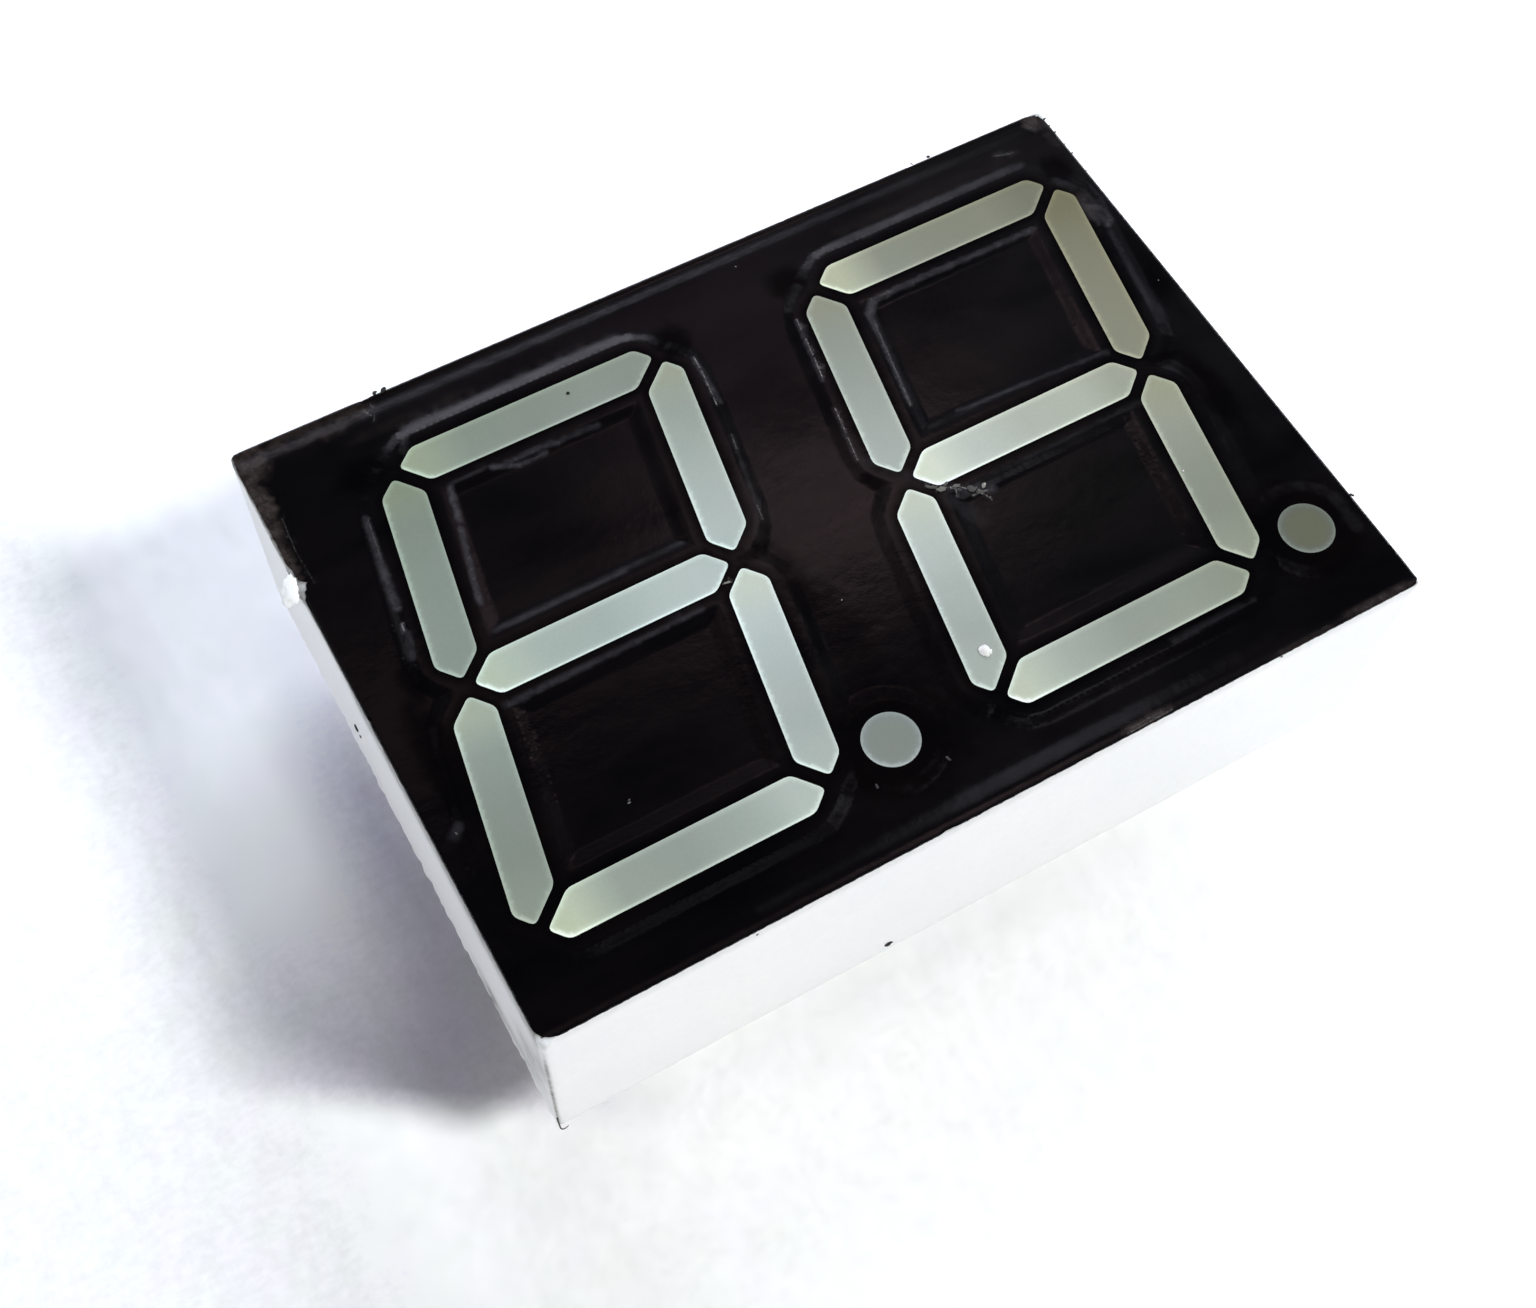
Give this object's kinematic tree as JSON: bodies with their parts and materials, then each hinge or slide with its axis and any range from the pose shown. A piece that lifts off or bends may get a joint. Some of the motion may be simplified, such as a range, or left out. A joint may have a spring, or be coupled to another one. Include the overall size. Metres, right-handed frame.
{
  "type": "seven segment display",
  "caption": "Seven segment LED display with a white moulded body, glossy black face, slanted diffused digits with decimal points, and rows of solder leads underneath.",
  "frame": {"origin": "middle of the body's outline, in the plane of the lead tips", "axes": "+X along the width from the first digit to the second, +Y to the top of the digits, +Z out of the face"},
  "size_m": [0.038, 0.0272, 0.0148],
  "materials": {
    "housing": "moulded white plastic, satin",
    "face_ink": "glossy black printing ink, worn at the corners",
    "diffuser": "milky grey-green diffused epoxy",
    "board": "glass-fibre laminate",
    "copper": "etched copper",
    "die": "semiconductor crystal",
    "bond_wire": "drawn gold wire",
    "lead": "tinned wire",
    "solder": "bright solder",
    "potting": "milky cast epoxy"
  },
  "bodies": {
    "root": {"housing": "housing", "face_print": "face_ink", "left_segment_a": "diffuser", "left_segment_b": "diffuser", "left_segment_c": "diffuser", "left_segment_d": "diffuser", "left_segment_e": "diffuser", "left_segment_f": "diffuser", "left_segment_g": "diffuser", "left_decimal_point": "diffuser", "right_segment_a": "diffuser", "right_segment_b": "diffuser", "right_segment_c": "diffuser", "right_segment_d": "diffuser", "right_segment_e": "diffuser", "right_segment_f": "diffuser", "right_segment_g": "diffuser", "right_decimal_point": "diffuser", "circuit_board": "board", "copper_pads": "copper", "left_led_dies": "die", "right_led_dies": "die", "left_bond_wires": "bond_wire", "right_bond_wires": "bond_wire", "pin_1": "lead", "pin_2": "lead", "pin_3": "lead", "pin_4": "lead", "pin_5": "lead", "pin_6": "lead", "pin_7": "lead", "pin_8": "lead", "pin_9": "lead", "pin_10": "lead", "solder_joints": "solder", "rear_potting": "potting"}
  },
  "joints": []
}
